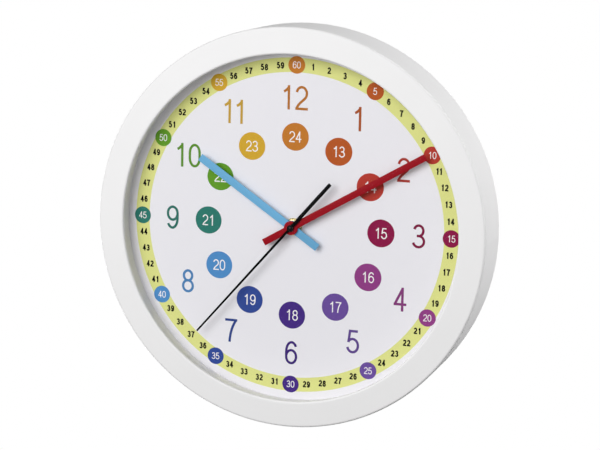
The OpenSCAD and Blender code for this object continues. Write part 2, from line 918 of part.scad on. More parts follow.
// Pinion in mesh with the minute wheel, on a shaft that leaves through the back wall
module setting_pinion() {
    color(wheel_white) upright() {
        translate(setting_axis)
            slab(motion_d, motion_d + wheel_t)
                pinion_2d(setting_n, cannon_module, setting_phase);
        slab(front_wall - pivot_depth + run_gap, motion_d)
            disc(pivot_r, setting_axis);
        slab(motion_d, movement_depth + free_gap + knob_t / 2)
            disc(pivot_r + setting_grow, setting_axis);
    }
}

// Knurled knob pressed on the setting shaft
module setting_knob() {
    knob_d0 = movement_depth + free_gap;
    flute_r = knob_d / knurl_n * flute_share;
    color(housing_black) upright() translate(setting_axis) difference() {
        slab(knob_d0, knob_d0 + knob_t) difference() {
            disc(knob_d / 2);
            for (i = [0:knurl_n - 1])
                translate(polar(knob_d / 2 + flute_r / 2, 360 * i / knurl_n))
                    circle(flute_r, $fn = 16);
        }
        slab(knob_d0 - past, knob_d0 + knob_t / 2)
            disc(pivot_r + setting_grow);
    }
}

module centre_wheel() {
    color(wheel_white) upright()
        slab(centre_d, centre_d + wheel_t) difference() {
            wheel_2d(centre_n, centre_module, third_dir);
            disc(pipe_tail_r + run_gap);
        }
}

module third_wheel() {
    color(wheel_white) upright() {
        translate(third_axis) {
            slab(third_d, third_d + wheel_t)
                wheel_2d(third_n, third_module, 180 + third_dir + 180 / third_n);
            slab(centre_d - pinion_extra, third_d)
                pinion_2d(third_pinion_n, centre_module, 180 + third_dir + 180 / third_pinion_n);
        }
        stem(third_axis, stem_grow, third_d, plate_d - free_gap);
    }
}

// Second wheel with its pinion, pressed on the second arbor
module second_wheel() {
    color(wheel_white) upright() difference() {
        union() {
            slab(second_d, second_d + wheel_t)
                wheel_2d(second_n, second_module, intermediate_dir);
            slab(third_d - pinion_extra, second_d)
                pinion_2d(second_pinion_n, third_module, third_dir);
        }
        slab(third_d - past, second_d + wheel_t + past)
            disc(second_arbor_d / 2);
    }
}

module second_arbor() {
    top_h = second_h + second_t + cap_dome_h / 2;
    color(steel) upright()
        between(movement_h - plate_d - plate_t, top_h)
            disc(second_arbor_d / 2);
}

module intermediate_wheel() {
    color(wheel_white) upright() {
        translate(intermediate_axis) {
            slab(intermediate_d, intermediate_d + wheel_t)
                wheel_2d(intermediate_n, rotor_module, rotor_dir);
            slab(second_d - pinion_extra, intermediate_d)
                pinion_2d(intermediate_pinion_n, second_module,
                          180 + intermediate_dir + 180 / intermediate_pinion_n);
        }
        stem(intermediate_axis, stem_grow, intermediate_d, plate_d - free_gap);
    }
}

// Rotor shaft with its pinion and the hub that carries the magnet
module rotor_pinion() {
    color(wheel_white) upright() {
        translate(rotor_axis)
            slab(intermediate_d - pinion_extra, intermediate_d + wheel_t + pinion_extra)
                pinion_2d(rotor_n, rotor_module, 180 + rotor_dir + 180 / rotor_n);
        stem(rotor_axis, magnet_bore_r - pivot_r, intermediate_d + wheel_t, magnet_d0 + magnet_t);
    }
}

module rotor_magnet() {
    color([0.3, 0.3, 0.32]) upright() translate(rotor_axis)
        slab(magnet_d0, magnet_d0 + magnet_t)
            ring(magnet_d / 2, magnet_bore_r);
}

// Flat iron plate around the rotor with two legs up to the coil core
module stator() {
    low_y = rotor_axis[1] - stator_bar_w / 2;
    color(steel) upright()
        slab(stator_d, plate_d) difference() {
            union() {
                disc(stator_ring_r, rotor_axis);
                rect(rotor_axis[0] - stator_half_w, low_y,
                     rotor_axis[0] + stator_half_w, low_y + stator_bar_w);
                for (side = [-1, 1]) {
                    leg_x = rotor_axis[0] + side * stator_leg_x;
                    rect(leg_x - stator_leg_w / 2, low_y, leg_x + stator_leg_w / 2, coil_y + core_w / 2);
                }
            }
            disc(rotor_hole_r, rotor_axis);
            for (side = [-1, 1])
                disc(stator_peg_r, rotor_axis + [side * stator_leg_x, 0]);
        }
}

// Iron bar behind the stator's legs, through the coil
module coil_core() {
    color(steel) upright()
        slab(plate_d, plate_d + stator_t)
            rect(rotor_axis[0] - stator_half_w, coil_y - core_w / 2,
                 rotor_axis[0] + stator_half_w, coil_y + core_w / 2);
}

// Puts a shape along the coil's own axis, which runs along x
module on_coil() {
    translate([rotor_axis[0], coil_y, movement_h - coil_d])
        rotate([0, 90, 0])
            children();
}

module bobbin_core_2d(grow) {
    square([stator_t + 2 * grow, core_w + 2 * grow], center = true);
}

module coil_bobbin() {
    color([0.85, 0.83, 0.75]) upright() on_coil() difference() {
        union() {
            between(-bobbin_half_l, bobbin_half_l)
                bobbin_core_2d(bobbin_wall + run_gap);
            between(-bobbin_half_l, flange_t - bobbin_half_l)
                disc(bobbin_r);
            between(bobbin_half_l - flange_t, bobbin_half_l)
                disc(bobbin_r);
        }
        between(-bobbin_half_l - past, bobbin_half_l + past)
            bobbin_core_2d(run_gap);
    }
}

module coil_winding() {
    color([0.72, 0.4, 0.2]) upright() on_coil()
        between(flange_t - bobbin_half_l, bobbin_half_l - flange_t) difference() {
            disc(winding_r);
            bobbin_core_2d(bobbin_wall + run_gap);
        }
}

module circuit_board() {
    color([0.1, 0.4, 0.2]) upright()
        slab(board_d, board_d + board_t) difference() {
            rect(board_x0, board_y0, board_x0 + board_w, board_y0 + board_l);
            for (y = board_peg_y)
                disc(peg_r + run_gap, [board_peg_x, y]);
        }
}

// Sealed chip under a round drop of resin
module chip() {
    dome_r = (pow(chip_r, 2) + pow(chip_h, 2)) / (2 * chip_h);
    color([0.05, 0.05, 0.05]) upright()
        translate([chip_pos[0], chip_pos[1], movement_h - board_d - board_t])
            rotate([180, 0, 0])
                rotate_extrude($fn = small_fn)
                    polygon(concat([[0, 0]],
                        arc([0, chip_h - dome_r], dome_r, asin((dome_r - chip_h) / dome_r), 90)));
}

module quartz_crystal() {
    color(steel) upright()
        translate([crystal_pos[0], crystal_pos[1], movement_h - board_d - board_t - crystal_d / 2])
            rotate([-90, 0, 0])
                cylinder(d = crystal_d, h = crystal_l, $fn = small_fn);
}

// Spring strip at the cell's positive end, which runs over the partition to the board
module positive_contact() {
    strip_y = bay_top + partition_t;
    foot_x = board_x0 + contact_foot_l;
    board_back = board_d + board_t;
    color(steel) upright() {
        slab(contact_d0, contact_d1)
            rect(inner_x - contact_t, battery_y - contact_end_w / 2, inner_x, strip_y + contact_t);
        slab(contact_d1 - contact_strip_w, contact_d1)
            rect(foot_x, strip_y, inner_x, strip_y + contact_t);
        slab(board_back, contact_d1)
            rect(foot_x, strip_y, foot_x + contact_foot_w, strip_y + contact_t);
        slab(board_back, board_back + contact_t)
            rect(foot_x, strip_y, foot_x + contact_foot_w, board_y0 + contact_foot_l);
    }
}

// Strip with a pressed spring cone at the cell's negative end, and its foot on the board
module negative_contact() {
    board_back = board_d + board_t;
    color(steel) upright() {
        slab(contact_d0, contact_d1)
            rect(-inner_x, battery_y - contact_end_w / 2, contact_t - inner_x, board_y0 + contact_foot_l);
        slab(board_back, board_back + contact_t)
            rect(-inner_x, board_y0,
                 board_x0 + contact_foot_w - contact_foot_back, board_y0 + contact_foot_l);
        translate([contact_t - inner_x, battery_y, movement_h - battery_depth])
            rotate([0, 90, 0])
                cylinder(r1 = cell_spring_r1, r2 = terminal_d / 2, h = cell_spring_h, $fn = small_fn);
    }
}

module on_battery() {
    translate([battery_x, battery_y, movement_h - battery_depth])
        rotate([0, 90, 0])
            children();
}

// Cell without its terminal, with a plain sleeve
module battery_can() {
    color([0.25, 0.27, 0.3]) upright() on_battery()
        cylinder(d = battery_d, h = battery_l - terminal_h);
}

module battery_cap() {
    color(steel) upright() on_battery()
        translate([0, 0, battery_l - terminal_h])
            cylinder(d = terminal_d, h = terminal_h, $fn = small_fn);
}

front_case();
window();
dial();
rear_cover();
case_screws();
hour_hand();
minute_hand();
second_hand();
second_hand_cap();
fixing_nut();
brass_washer();
rubber_washer();
threaded_bushing();
movement_front();
movement_back();
bearing_plate();
hour_wheel();
minute_pipe();
clutch_spring();
minute_wheel();
setting_pinion();
setting_knob();
centre_wheel();
third_wheel();
second_wheel();
second_arbor();
intermediate_wheel();
rotor_pinion();
rotor_magnet();
stator();
coil_core();
coil_bobbin();
coil_winding();
circuit_board();
chip();
quartz_crystal();
positive_contact();
negative_contact();
battery_can();
battery_cap();
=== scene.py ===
"""Looks of a time teaching wall clock, laid out as an add-on and run as a script."""

import json
import math

import bmesh
import bpy
from mathutils import Matrix, Vector

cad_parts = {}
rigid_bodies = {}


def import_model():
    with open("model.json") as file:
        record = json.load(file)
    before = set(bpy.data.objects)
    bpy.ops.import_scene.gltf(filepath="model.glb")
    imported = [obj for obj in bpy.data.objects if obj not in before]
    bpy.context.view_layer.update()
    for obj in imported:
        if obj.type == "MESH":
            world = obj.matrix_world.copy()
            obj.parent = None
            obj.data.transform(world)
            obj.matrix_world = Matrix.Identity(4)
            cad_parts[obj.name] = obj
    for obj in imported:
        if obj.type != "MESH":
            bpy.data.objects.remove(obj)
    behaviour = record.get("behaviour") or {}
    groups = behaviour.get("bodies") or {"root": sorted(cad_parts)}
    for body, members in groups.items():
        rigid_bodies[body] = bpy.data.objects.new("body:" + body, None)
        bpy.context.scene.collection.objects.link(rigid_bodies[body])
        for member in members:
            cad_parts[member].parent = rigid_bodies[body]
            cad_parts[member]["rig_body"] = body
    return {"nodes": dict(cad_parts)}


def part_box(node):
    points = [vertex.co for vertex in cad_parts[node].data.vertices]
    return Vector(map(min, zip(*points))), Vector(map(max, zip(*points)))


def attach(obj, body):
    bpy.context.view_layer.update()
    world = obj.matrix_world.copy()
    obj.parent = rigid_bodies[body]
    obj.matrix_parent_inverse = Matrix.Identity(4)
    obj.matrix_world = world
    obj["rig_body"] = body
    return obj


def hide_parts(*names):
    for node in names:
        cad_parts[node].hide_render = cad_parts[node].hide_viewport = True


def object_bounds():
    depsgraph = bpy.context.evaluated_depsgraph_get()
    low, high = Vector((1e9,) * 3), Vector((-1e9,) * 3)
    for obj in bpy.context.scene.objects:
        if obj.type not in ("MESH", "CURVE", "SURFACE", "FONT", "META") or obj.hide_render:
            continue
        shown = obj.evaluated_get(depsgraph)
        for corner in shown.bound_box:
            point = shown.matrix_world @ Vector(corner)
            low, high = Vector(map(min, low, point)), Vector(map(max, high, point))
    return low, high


bl_info = {
    "name": "Time teaching wall clock",
    "version": (1, 0, 0),
    "blender": (4, 5, 0),
    "location": "3D View > Sidebar > Wall clock",
    "description": "Dresses a packed wall clock with its printed dial, finishes and studio",
    "category": "Object",
}

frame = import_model()
CAD_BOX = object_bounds()

SHAFT = sum(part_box("second_arbor"), Vector()) / 2
DIAL_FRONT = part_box("dial")[0].y
MM = 0.001
FULL_TURN = 2 * math.pi
HOURS = 12
MINUTES = 60
MINUTES_TO_A_DOT = MINUTES // HOURS

# The print rides on the body that holds the dial
DIAL_BODY = "case"

# Proportions of the printed figures, as shares of a figure's height
FIGURE_WIDTH = 0.54
FIGURE_ADVANCE = 0.62
ELEVEN_PULL = 0.095

# How far each next stroke of a digit rises, as a share of an ink layer
STROKE_LIFT = 0.2

# Hour figures that sit a little to the left of their place
NUDGED_HOURS = (10, 12)

# How many times its width a stroke may grow where it bends
MITRE_LIMIT = 2.0

# Rounding of edges: which points are joined, which edges go, which are rounded and which stay sharp
JOINED_WITHIN = 0.001 * MM
FLAT_BELOW = math.radians(0.5)
ROUNDED_ABOVE = math.radians(35)
SMOOTH_BELOW = math.radians(32)
ROUND_PROFILE = 0.5

SENSOR_WIDTH_MM = 36.0
SPECULAR = "Specular IOR Level"
BLACK = (0.0, 0.0, 0.0, 1.0)
WHITE = (1.0, 1.0, 1.0, 1.0)


def length(name, description, default):
    """A size in metres that a user may change."""
    return bpy.props.FloatProperty(
        name=name, description=description, default=default, min=0.0, precision=5,
        subtype="DISTANCE", unit="LENGTH")


def angle(name, description, degrees):
    """An angle that a user may change."""
    return bpy.props.FloatProperty(
        name=name, description=description, default=math.radians(degrees),
        subtype="ANGLE", unit="ROTATION")


def share(name, description, default):
    """A plain number that a user may change."""
    return bpy.props.FloatProperty(
        name=name, description=description, default=default, min=0.0, soft_max=1.0, subtype="FACTOR")


def shift(name, description, default):
    """A move of the picture's frame, either way."""
    return bpy.props.FloatProperty(name=name, description=description, default=default, precision=5)


def place(name, description, default):
    """A point that a user may move."""
    return bpy.props.FloatVectorProperty(
        name=name, description=description, default=default, size=3,
        subtype="TRANSLATION", unit="LENGTH")


def power(name, description, watts):
    """The power of a lamp."""
    return bpy.props.FloatProperty(
        name=name, description=description, default=watts, min=0.0, subtype="POWER", unit="POWER")


def tint(name, description, default):
    """A colour as it shows on screen."""
    return bpy.props.FloatVectorProperty(
        name=name, description=description, default=default, size=3, min=0.0, max=1.0,
        subtype="COLOR_GAMMA")


class DialPrint(bpy.types.PropertyGroup):
    """Sizes of what is printed on the dial."""

    ink_step: length("Ink step", "Height of one layer of ink over the layer below", 0.04 * MM)
    ring_inner: length("Ring inside", "Inner radius of the minute ring", 115.4 * MM)
    ring_outer: length("Ring outside", "Outer radius of the minute ring", 126.2 * MM)
    minute_dot_at: length("Minute dot place", "Radius on which the five-minute dots lie", 120.8 * MM)
    minute_dot_r: length("Minute dot radius", "Radius of a five-minute dot", 6.5 * MM)
    hour_dot_at: length("Hour dot place", "Radius on which the afternoon hour dots lie", 67.5 * MM)
    hour_dot_r: length("Hour dot radius", "Radius of an afternoon hour dot", 10.4 * MM)
    hour_figure_at: length("Hour figure place", "Radius on which the hour figures lie", 96.5 * MM)
    hour_figure_h: length("Hour figure height", "Height of an hour figure", 18.0 * MM)
    hour_dot_figure_h: length("Dot figure height", "Height of the figures in the hour dots", 8.2 * MM)
    minute_dot_figure_h: length(
        "Five-minute figure height", "Height of the figures in the minute dots", 5.2 * MM)
    minute_figure_at: length("Minute figure place", "Radius on which the minute figures lie", 120.5 * MM)
    minute_figure_h: length("Minute figure height", "Height of a minute figure", 4.9 * MM)
    nudge: length("Nudge", "How far the figures ten and twelve sit to the left", 1.25 * MM)
    fade: share("Fade", "How far the hour figures' inks go over into grey", 0.06)
    deepen: share("Deepen", "How far the hour figures' inks go over into black", 0.14)
    thin_stroke: share("Thin stroke", "Stroke of the hour figures as a share of their height", 0.106)
    medium_stroke: share("Medium stroke", "Stroke of the dots' figures as a share of their height", 0.10)
    bold_stroke: share("Bold stroke", "Stroke of the minute figures as a share of their height", 0.215)


class HourInks(bpy.types.PropertyGroup):
    """Inks of the twelve hours, in their order, as they show on screen."""

    one: tint("One", "Ink at one o'clock", (0.72, 0.35, 0.16))
    two: tint("Two", "Ink at two o'clock", (0.72, 0.24, 0.20))
    three: tint("Three", "Ink at three o'clock", (0.55, 0.10, 0.28))
    four: tint("Four", "Ink at four o'clock", (0.57, 0.25, 0.52))
    five: tint("Five", "Ink at five o'clock", (0.42, 0.31, 0.61))
    six: tint("Six", "Ink at six o'clock", (0.28, 0.18, 0.51))
    seven: tint("Seven", "Ink at seven o'clock", (0.21, 0.30, 0.59))
    eight: tint("Eight", "Ink at eight o'clock", (0.32, 0.56, 0.79))
    nine: tint("Nine", "Ink at nine o'clock", (0.19, 0.48, 0.43))
    ten: tint("Ten", "Ink at ten o'clock", (0.39, 0.61, 0.17))
    eleven: tint("Eleven", "Ink at eleven o'clock", (0.83, 0.66, 0.21))
    twelve: tint("Twelve", "Ink at twelve o'clock", (0.77, 0.48, 0.19))


class ClockColours(bpy.types.PropertyGroup):
    """Colours of the clock's finishes, as they show on screen."""

    white_plastic: tint("White plastic", "Case and rear cover", (0.945, 0.943, 0.944))
    window: tint("Window", "Trace of tone in the window", (0.10, 0.11, 0.11))
    dial_sheet: tint("Dial sheet", "Ground of the dial", (0.935, 0.93, 0.95))
    ring_ink: tint("Ring ink", "Minute ring", (0.875, 0.885, 0.56))
    black_ink: tint("Black ink", "Minute figures", (0.05, 0.05, 0.05))
    white_ink: tint("White ink", "Figures in the dots", (0.97, 0.96, 0.96))
    hour_hand: tint("Hour hand", "Paint of the hour hand", (0.44, 0.69, 0.85))
    minute_hand: tint("Minute hand", "Paint of the minute hand", (0.61, 0.085, 0.13))
    second_hand: tint("Second hand", "Second hand, its cap and the chip", (0.012, 0.012, 0.014))
    housing: tint("Movement housing", "Plastic of the movement's housing", (0.12, 0.12, 0.125))
    wheels: tint("Wheels", "Plastic of the wheels", (0.90, 0.88, 0.82))
    brass: tint("Brass", "Nut, washer, bushing and minute pipe", (0.80, 0.75, 0.58))
    steel: tint("Steel", "Screws, contacts, stator and the cell's cap", (0.74, 0.75, 0.77))
    copper: tint("Copper", "Coil winding", (0.72, 0.36, 0.16))
    board: tint("Board", "Circuit board", (0.08, 0.34, 0.17))
    sleeve: tint("Cell sleeve", "Sleeve of the cell", (0.16, 0.20, 0.27))
    sleeve_band: tint("Cell band", "Band at the cell's positive end", (0.80, 0.52, 0.22))
    rubber: tint("Rubber", "Washer behind the dial", (0.07, 0.07, 0.07))
    magnet: tint("Magnet", "Rotor magnet", (0.26, 0.26, 0.28))


class RoundedEdges(bpy.types.PropertyGroup):
    """How wide the edges of the small pieces are rounded."""

    hands: length("Hands", "Edges of the three hands", 0.12 * MM)
    screws: length("Screws", "Edges of the case screws", 0.15 * MM)
    nut: length("Nut", "Edges of the fixing nut", 0.2 * MM)
    knob: length("Knob", "Edges of the setting knob", 0.15 * MM)
    cell: length("Cell", "Edges of the cell's can", 0.6 * MM)
    cell_cap: length("Cell cap", "Edges of the cell's positive cap", 0.4 * MM)


class StudioSettings(bpy.types.PropertyGroup):
    """Camera, lamps and floor."""

    azimuth: angle("Azimuth", "How far the camera stands to the right", 17.95)
    elevation: angle("Elevation", "How far the camera stands above the dial", 10.41)
    roll: angle("Roll", "Turn of the camera about its line of sight", 1.13)
    distance: length("Distance", "From the camera to the dial's centre", 1.601)
    lens: bpy.props.FloatProperty(
        name="Lens", description="Focal length in millimetres on a sensor 36 mm wide", default=129.0,
        subtype="DISTANCE_CAMERA", unit="CAMERA")
    shift_x: shift("Shift x", "Sideways shift of the frame, as a share of its width", 0.0106)
    shift_y: shift("Shift y", "Upward shift of the frame, as a share of its width", 0.00267)
    key_at: place("Key place", "Soft lamp at the upper left, from the dial's centre", (-0.77, -2.88, 1.2))
    key_size: length("Key size", "Diameter of the soft lamp at the upper left", 2.3)
    key_power: power("Key power", "Power of the soft lamp at the upper left", 73.6)
    fill_at: place("Fill place", "Soft lamp at the right, from the dial's centre", (1.35, 0.7, 0.6))
    fill_size: length("Fill size", "Diameter of the soft lamp at the right", 0.9)
    fill_power: power("Fill power", "Power of the soft lamp at the right", 19.3)
    rear_at: place("Rear place", "Soft lamp behind the clock, from the dial's centre", (-1.1, 1.4, -0.5))
    rear_size: length("Rear size", "Diameter of the soft lamp behind the clock", 0.9)
    rear_power: power("Rear power", "Power of the soft lamp behind the clock", 26.0)
    ambient: share("Ambient", "Strength of the soft light from straight in front", 0.655)
    least_ambient: share("Least ambient", "Share of that light from the sides and the back", 0.06)
    floor_drop: length("Floor drop", "From the clock's lowest point down to the floor", 0.3)
    floor_half: length("Floor size", "From the floor's middle to its edge", 0.7)
    floor_tone: tint("Floor tone", "Colour of the floor", (0.25, 0.25, 0.25))
    floor_glow: share("Floor glow", "Light that the floor adds where it shows as background", 0.96)


class ClockSettings(bpy.types.PropertyGroup):
    """All that a user may change on the clock."""

    dial_print: bpy.props.PointerProperty(
        name="Dial print", description="Sizes of what is printed on the dial", type=DialPrint)
    hour_inks: bpy.props.PointerProperty(
        name="Hour inks", description="Inks of the twelve hours", type=HourInks)
    colours: bpy.props.PointerProperty(
        name="Colours", description="Colours of the clock's finishes", type=ClockColours)
    edges: bpy.props.PointerProperty(
        name="Edges", description="Rounded edges of the small pieces", type=RoundedEdges)
    studio: bpy.props.PointerProperty(
        name="Studio", description="Camera, lamps and floor", type=StudioSettings)


def linear(colour):
    """A screen colour as the linear RGBA that shaders take, by the sRGB curve."""
    return tuple(c / 12.92 if c <= 0.04045 else ((c + 0.055) / 1.055) ** 2.4 for c in colour) + (1.0,)


class Value:
    """A number that varies over a surface. Operators on it add Math nodes."""

    def __init__(self, tree, socket):
        self.tree = tree
        self.socket = socket

    def __add__(self, other):
        return self.tree.math("ADD", self, other)

    def __sub__(self, other):
        return self.tree.math("SUBTRACT", self, other)

    def __rsub__(self, other):
        return self.tree.math("SUBTRACT", other, self)

    def __mul__(self, other):
        return self.tree.math("MULTIPLY", self, other)

    def __truediv__(self, other):
        return self.tree.math("DIVIDE", self, other)

    def __rtruediv__(self, other):
        return self.tree.math("DIVIDE", other, self)

    def __gt__(self, other):
        return self.tree.math("GREATER_THAN", self, other)

    def __lt__(self, other):
        return self.tree.math("LESS_THAN", self, other)

    __radd__ = __add__
    __rmul__ = __mul__


class NodeTree:
    """Adds nodes to a tree, and keeps the expressions that use them short."""

    def __init__(self, tree):
        self.tree = tree
        tree.nodes.clear()

    def node(self, kind, settings=None, sockets=None):
        """One node of a kind: its settings first, then its sockets' values or links."""
        made = self.tree.nodes.new(kind)
        for name, value in (settings or {}).items():
            if name == "stops":
                self.set_stops(made.color_ramp, value)
            else:
                setattr(made, name, value)
        for name, value in (sockets or {}).items():
            self.put(made.inputs[name], value)
        return made

    def put(self, socket, value):
        """Links a value to a socket, or sets the socket's own value."""
        if isinstance(value, Value):
            value = value.socket
        if isinstance(value, bpy.types.NodeSocket):
            self.tree.links.new(value, socket)
        else:
            socket.default_value = value

    @staticmethod
    def set_stops(ramp, stops):
        """Gives a ramp one flat colour from each position up to the next."""
        ramp.interpolation = "CONSTANT"
        while len(ramp.elements) < len(stops):
            ramp.elements.new(1.0)
        for element, (position, colour) in zip(ramp.elements, stops):
            element.position = position
            element.color = colour

    def math(self, operation, *values):
        """A Math node on numbers, values or both."""
        sockets = dict(enumerate(values))
        return Value(self, self.node("ShaderNodeMath", {"operation": operation}, sockets).outputs[0])

    def mix(self, factor, low, high):
        """One colour going over into another, by the Mix node's own sockets for colours."""
        made = self.node("ShaderNodeMix", {"data_type": "RGBA"}, {0: factor, 6: low, 7: high})
        return made.outputs[2]


class Finish(NodeTree):
    """A material in the making, with its main shader."""

    def __init__(self, name, constants):
        self.material = bpy.data.materials.new(name)
        self.material.use_nodes = True
        super().__init__(self.material.node_tree)
        self.shader = self.node("ShaderNodeBsdfPrincipled")
        surface = {"Surface": self.shader.outputs["BSDF"]}
        self.output = self.node("ShaderNodeOutputMaterial", sockets=surface)
        self.point = self.node("ShaderNodeTexCoord").outputs["Object"]
        self.set(constants)

    def set(self, sockets):
        """Sets or links sockets of the main shader."""
        for name, value in sockets.items():
            self.put(self.shader.inputs[name], value)

    def axes(self):
        """The surface point's x, y and z."""
        parts = self.node("ShaderNodeSeparateXYZ", sockets={0: self.point})
        return [Value(self, socket) for socket in parts.outputs]

    def noise(self, scale, detail=2.0, stretch=(1, 1, 1)):
        """Cloudy noise around a half, with scale lumps to a metre."""
        stretched = self.node("ShaderNodeMapping", sockets={"Vector": self.point, "Scale": stretch})
        sockets = {"Vector": stretched.outputs[0], "Scale": scale, "Detail": detail}
        return Value(self, self.node("ShaderNodeTexNoise", sockets=sockets).outputs[0])

    def ripple(self, along, pitch):
        """A wave between nought and one, with a crest at each pitch."""
        return self.math("SINE", along * (FULL_TURN / pitch)) * 0.5 + 0.5

    def shade(self, colour, amount, mask):
        """A colour that goes darker by an amount where the mask is high."""
        full = linear(colour)
        dark = tuple(c * (1 - amount) for c in full[:3]) + (1.0,)
        return self.mix(mask, full, dark)

    def swing(self, middle, amount, mask):
        """A number that goes up and down about its middle with the mask."""
        return middle + amount * (mask - 0.5)

    def bump(self, height, depth):
        """Lets the surface rise by a depth where the height is one."""
        made = self.node("ShaderNodeBump", sockets={"Height": height, "Distance": depth, "Strength": 1.0})
        self.set({"Normal": made.outputs[0]})


def moulded(name, colour, roughness, lump=420.0, depth=0.012 * MM, specular=0.5, lumps_to_a_cloud=14):
    """Moulded plastic: a faint mottle, and a skin that isn't quite flat."""
    finish = Finish(name, {SPECULAR: specular})
    skin = finish.noise(lump)
    cloud = finish.noise(lump / lumps_to_a_cloud)
    finish.set({
        "Base Color": finish.shade(colour, amount=0.03, mask=cloud),
        "Roughness": finish.swing(roughness, amount=0.08, mask=skin),
    })
    finish.bump(skin, depth)
    return finish.material


def textured_housing(colour):
    """Spark-eroded matt plastic."""
    finish = Finish("housing_plastic", {SPECULAR: 0.4})
    grain = finish.noise(scale=2600.0, detail=3.0)
    finish.set({
        "Base Color": finish.shade(colour, amount=0.3, mask=grain),
        "Roughness": 0.5 + 0.25 * grain,
    })
    finish.bump(grain, depth=0.06 * MM)
    return finish.material


def printed_sheet(name, colour, roughness=0.5):
    """Ink or coated sheet with a fine even grain."""
    finish = Finish(name, {SPECULAR: 0.05})
    grain = finish.noise(scale=1500.0)
    finish.set({
        "Base Color": finish.shade(colour, amount=0.035, mask=grain),
        "Roughness": finish.swing(roughness, amount=0.1, mask=grain),
    })
    finish.bump(grain, depth=0.004 * MM)
    return finish.material


def ink_by_hour(name, inks, fade=0.0, deepen=0.0):
    """Ink with the colour of the hour that it is printed at, going over into grey and into black."""
    finish = Finish(name, {SPECULAR: 0.05})
    x, _, z = finish.axes()
    turn = finish.math("ARCTAN2", x - SHAFT.x, z - SHAFT.z) / FULL_TURN
    # The first ink starts half an hour before one o'clock
    since_first = finish.math("FRACT", turn + (1 - 0.5 / HOURS))
    stops = [(i / HOURS, linear(ink)) for i, ink in enumerate(inks)]
    pure = finish.node("ShaderNodeValToRGB", {"stops": stops}, {0: since_first}).outputs[0]
    grey = finish.node("ShaderNodeRGBToBW", sockets={0: pure}).outputs[0]
    grain = finish.noise(scale=1500.0)
    printed = finish.mix(deepen + 0.05 * grain, finish.mix(fade, pure, grey), BLACK)
    finish.set({
        "Base Color": printed,
        "Roughness": finish.swing(0.45, amount=0.1, mask=grain),
    })
    return finish.material


def painted_metal(name, colour, roughness=0.38):
    """Thin stamped aluminium with a satin coat of paint."""
    finish = Finish(name, {SPECULAR: 0.03})
    peel = finish.noise(scale=900.0)
    finish.set({
        "Base Color": finish.shade(colour, amount=0.06, mask=peel),
        "Roughness": finish.swing(roughness, amount=0.12, mask=peel),
    })
    finish.bump(peel, depth=0.01 * MM)
    return finish.material


def bare_metal(name, colour, roughness, scale=700.0, stretch=(1, 1, 1)):
    """Plain metal with fine machining marks, drawn out along an axis that the stretch makes small."""
    finish = Finish(name, {"Metallic": 1.0})
    marks = finish.noise(scale, detail=4.0, stretch=stretch)
    finish.set({
        "Base Color": finish.shade(colour, amount=0.18, mask=marks),
        "Roughness": finish.swing(roughness, amount=0.2, mask=marks),
    })
    finish.bump(marks, depth=0.01 * MM)
    return finish.material


def turned_brass(colour, pitch=0.16 * MM):
    """Brass with fine turning rings round the hand shaft."""
    finish = Finish("brass", {"Metallic": 1.0})
    x, _, z = finish.axes()
    across, up = x - SHAFT.x, z - SHAFT.z
    radius = finish.math("SQRT", across * across + up * up)
    rings = finish.ripple(radius, pitch)
    finish.set({
        "Base Color": finish.shade(colour, amount=0.2, mask=rings),
        "Roughness": 0.22 + 0.1 * rings,
    })
    finish.bump(rings, depth=0.008 * MM)
    return finish.material


def wound_copper(colour, wire=0.12 * MM):
    """Enamelled wire in close turns along the coil."""
    finish = Finish("copper", {"Metallic": 0.8})
    x, _, _ = finish.axes()
    turns = finish.ripple(x, wire)
    finish.set({
        "Base Color": finish.shade(colour, amount=0.5, mask=turns),
        "Roughness": 0.3 + 0.1 * turns,
    })
    finish.bump(turns, depth=0.03 * MM)
    return finish.material


def solder_mask(colour):
    """Green board with lighter tracks under the mask."""
    finish = Finish("board", {"Roughness": 0.35})
    sockets = {"Vector": finish.point, "Scale": 420.0, "Color1": WHITE, "Color2": WHITE, "Mortar": BLACK}
    tracks = finish.node("ShaderNodeTexBrick", sockets=sockets)
    finish.set({"Base Color": finish.shade(colour, amount=0.35, mask=tracks.outputs[0])})
    return finish.material


def cell_sleeve(colour, band, band_from=0.74):
    """Printed sleeve of the cell, with a band from a share of its length to the positive end."""
    finish = Finish("battery_sleeve", {"Metallic": 0.35, "Coat Weight": 0.4, "Coat Roughness": 0.1})
    low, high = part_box("battery_can")
    x, _, _ = finish.axes()
    at_band = x > (low.x + band_from * (high.x - low.x))
    brushed = finish.noise(scale=900.0, detail=3.0, stretch=(0.05, 1, 1))
    plain = finish.shade(colour, amount=0.2, mask=brushed)
    banded = finish.shade(band, amount=0.2, mask=brushed)
    finish.set({
        "Base Color": finish.mix(at_band, plain, banded),
        "Roughness": 0.28 + 0.1 * brushed,
    })
    return finish.material


def clear_plastic(colour):
    """Window so clear that only a trace of it shows."""
    finish = Finish("clear_plastic", {"Alpha": 0.012})
    haze = finish.noise(scale=60.0)
    finish.set({
        "Base Color": finish.shade(colour, amount=0.3, mask=haze),
        "Roughness": 0.04 + 0.02 * haze,
    })
    return finish.material


def on_dial(x, y, h):
    """A point over the dial, right and up from the shaft, as a point of the frame."""
    return Vector((SHAFT.x + x, DIAL_FRONT - h, SHAFT.z + y))


def clock_point(turn_share, radius):
    """Right and up from the shaft, at a share of the full turn clockwise from twelve."""
    turn = FULL_TURN * turn_share
    return radius * math.sin(turn), radius * math.cos(turn)


def add_piece(name, builder, material, body):
    """Makes a piece of a filled bmesh, gives it its finish and lets it ride on a body."""
    bmesh.ops.recalc_face_normals(builder, faces=builder.faces)
    mesh = bpy.data.meshes.new(name)
    builder.to_mesh(mesh)
    builder.free()
    piece = bpy.data.objects.new(name, mesh)
    bpy.context.scene.collection.objects.link(piece)
    mesh.materials.append(material)
    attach(piece, body)
    return piece


